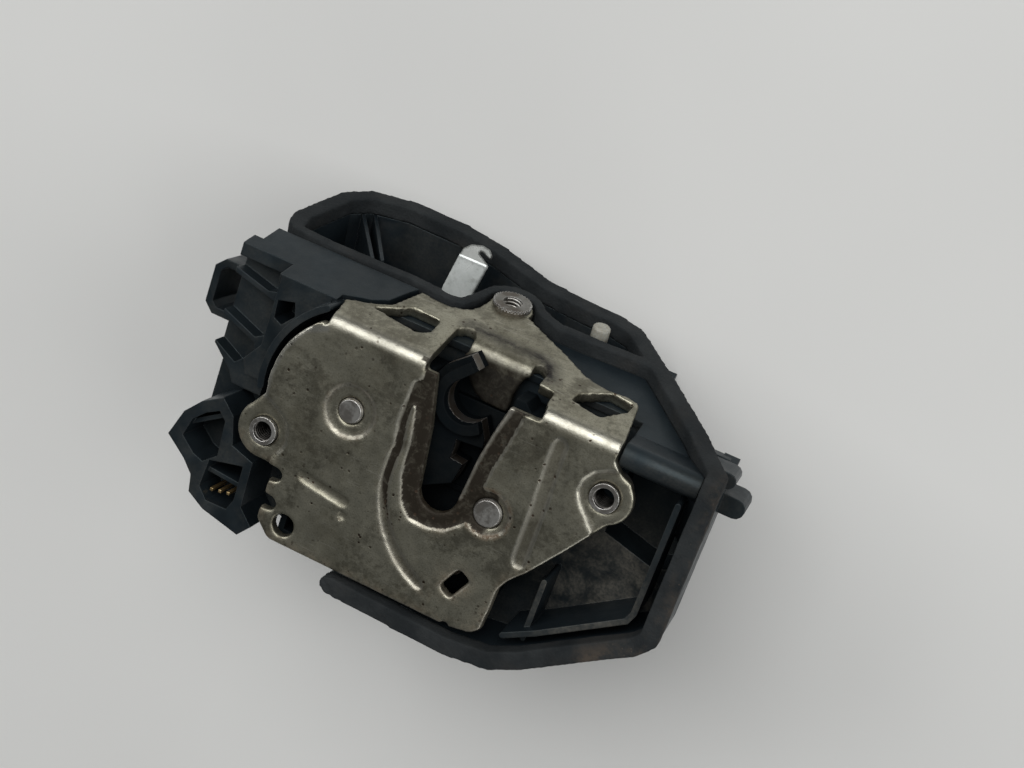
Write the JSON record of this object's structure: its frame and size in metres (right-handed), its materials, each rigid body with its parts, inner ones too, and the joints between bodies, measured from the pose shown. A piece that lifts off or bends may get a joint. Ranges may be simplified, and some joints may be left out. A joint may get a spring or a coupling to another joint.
{
  "type": "car door lock",
  "caption": "Used car door lock: pressed steel face plate with an open striker mouth, rotary catch and pawl, black moulded housing with cable tray, lock drive and worn seal",
  "frame": {"origin": "centre of the left M6 bush on the face plate's outer face", "axes": "X along the bend towards the right bush's side, Y towards the flange and the open end of the striker mouth, Z out of the face plate towards the striker side"},
  "size_m": [0.1505, 0.0871, 0.077],
  "materials": {
    "plated_sheet": "worn zinc-plated sheet, stained brown round the mouth",
    "bush_steel": "bright plated steel, slightly tarnished",
    "core_steel": "bare hardened steel, dark grey and greasy",
    "spring_steel": "drawn spring wire",
    "motor_steel": "plain drawn can",
    "lever_zinc": "bright zinc-plated strip",
    "contact_brass": "stamped brass",
    "housing_plastic": "black moulded plastic, dusty",
    "case_plastic": "black moulded plastic",
    "jacket_plastic": "black tough overmould, greasy",
    "gear_plastic": "natural acetal",
    "peg_plastic": "off-white moulded plastic, soiled",
    "seal_rubber": "foam rubber with brown dirt on its edge"
  },
  "bodies": {
    "frame": {"face_plate": "plated_sheet", "left_bush": "bush_steel", "right_bush": "bush_steel", "flange_bush": "bush_steel", "catch_pin": "bush_steel", "pawl_pin": "bush_steel", "back_plate": "plated_sheet", "latch_case": "case_plastic", "housing": "housing_plastic", "rear_cover": "housing_plastic", "cover_screws": "bush_steel", "connector_socket": "housing_plastic", "connector_pins": "contact_brass", "perimeter_seal": "seal_rubber", "lever_pin": "core_steel", "lock_motor": "motor_steel", "wheel_pin": "core_steel", "latch_switch": "case_plastic", "lock_switch": "case_plastic", "contact_strip": "contact_brass", "catch_spring": "spring_steel", "pawl_spring": "spring_steel", "lever_spring": "spring_steel"},
    "catch": {"rotary_catch": "core_steel", "catch_jacket": "jacket_plastic"},
    "pawl_body": {"pawl": "core_steel", "pawl_jacket": "jacket_plastic"},
    "handle_lever": {"release_lever": "lever_zinc"},
    "rotor": {"motor_shaft": "core_steel", "worm": "gear_plastic"},
    "wheel": {"worm_wheel": "gear_plastic"},
    "slider": {"lock_slider": "case_plastic", "lock_peg": "peg_plastic"}
  },
  "joints": [
    {"name": "catch_turn", "type": "hinge", "parent": "frame", "child": "catch", "pos_m": [0.02, 0.0145, -0.0085], "axis": [0, 0, 1], "range_deg": [-46, 0], "stiffness_Nm_per_rad": 0.15, "springref_deg": 34.38, "deforming": ["catch_spring"]},
    {"name": "pawl_turn", "type": "hinge", "parent": "frame", "child": "pawl_body", "pos_m": [0.0606, 0.0054, -0.0085], "axis": [0, 0, 1], "range_deg": [-8, 4], "stiffness_Nm_per_rad": 0.12, "deforming": ["pawl_spring"]},
    {"name": "lever_turn", "type": "hinge", "parent": "frame", "child": "handle_lever", "pos_m": [0.025, 0.004, -0.04], "axis": [0, 0, 1], "range_deg": [0, 12], "stiffness_Nm_per_rad": 0.2, "springref_deg": -22.92, "deforming": ["lever_spring"]},
    {"name": "wheel_turn", "type": "hinge", "parent": "frame", "child": "wheel", "pos_m": [0.056, 0.005, -0.044], "axis": [0, 0, 1], "range_deg": [0, 76.3]},
    {"name": "worm_turn", "type": "hinge", "parent": "frame", "child": "rotor", "pos_m": [0.04, -0.014, -0.042], "axis": [1, 0, 0], "range_deg": [-2290, 0]},
    {"name": "slider_move", "type": "slide", "parent": "frame", "child": "slider", "axis": [1, 0, 0], "range_m": [-0.008, 0]}
  ],
  "couplings": [
    {"joint": "worm_turn", "follows": "wheel_turn", "ratio": -30},
    {"joint": "slider_move", "follows": "wheel_turn", "m_per_rad": -0.006}
  ]
}
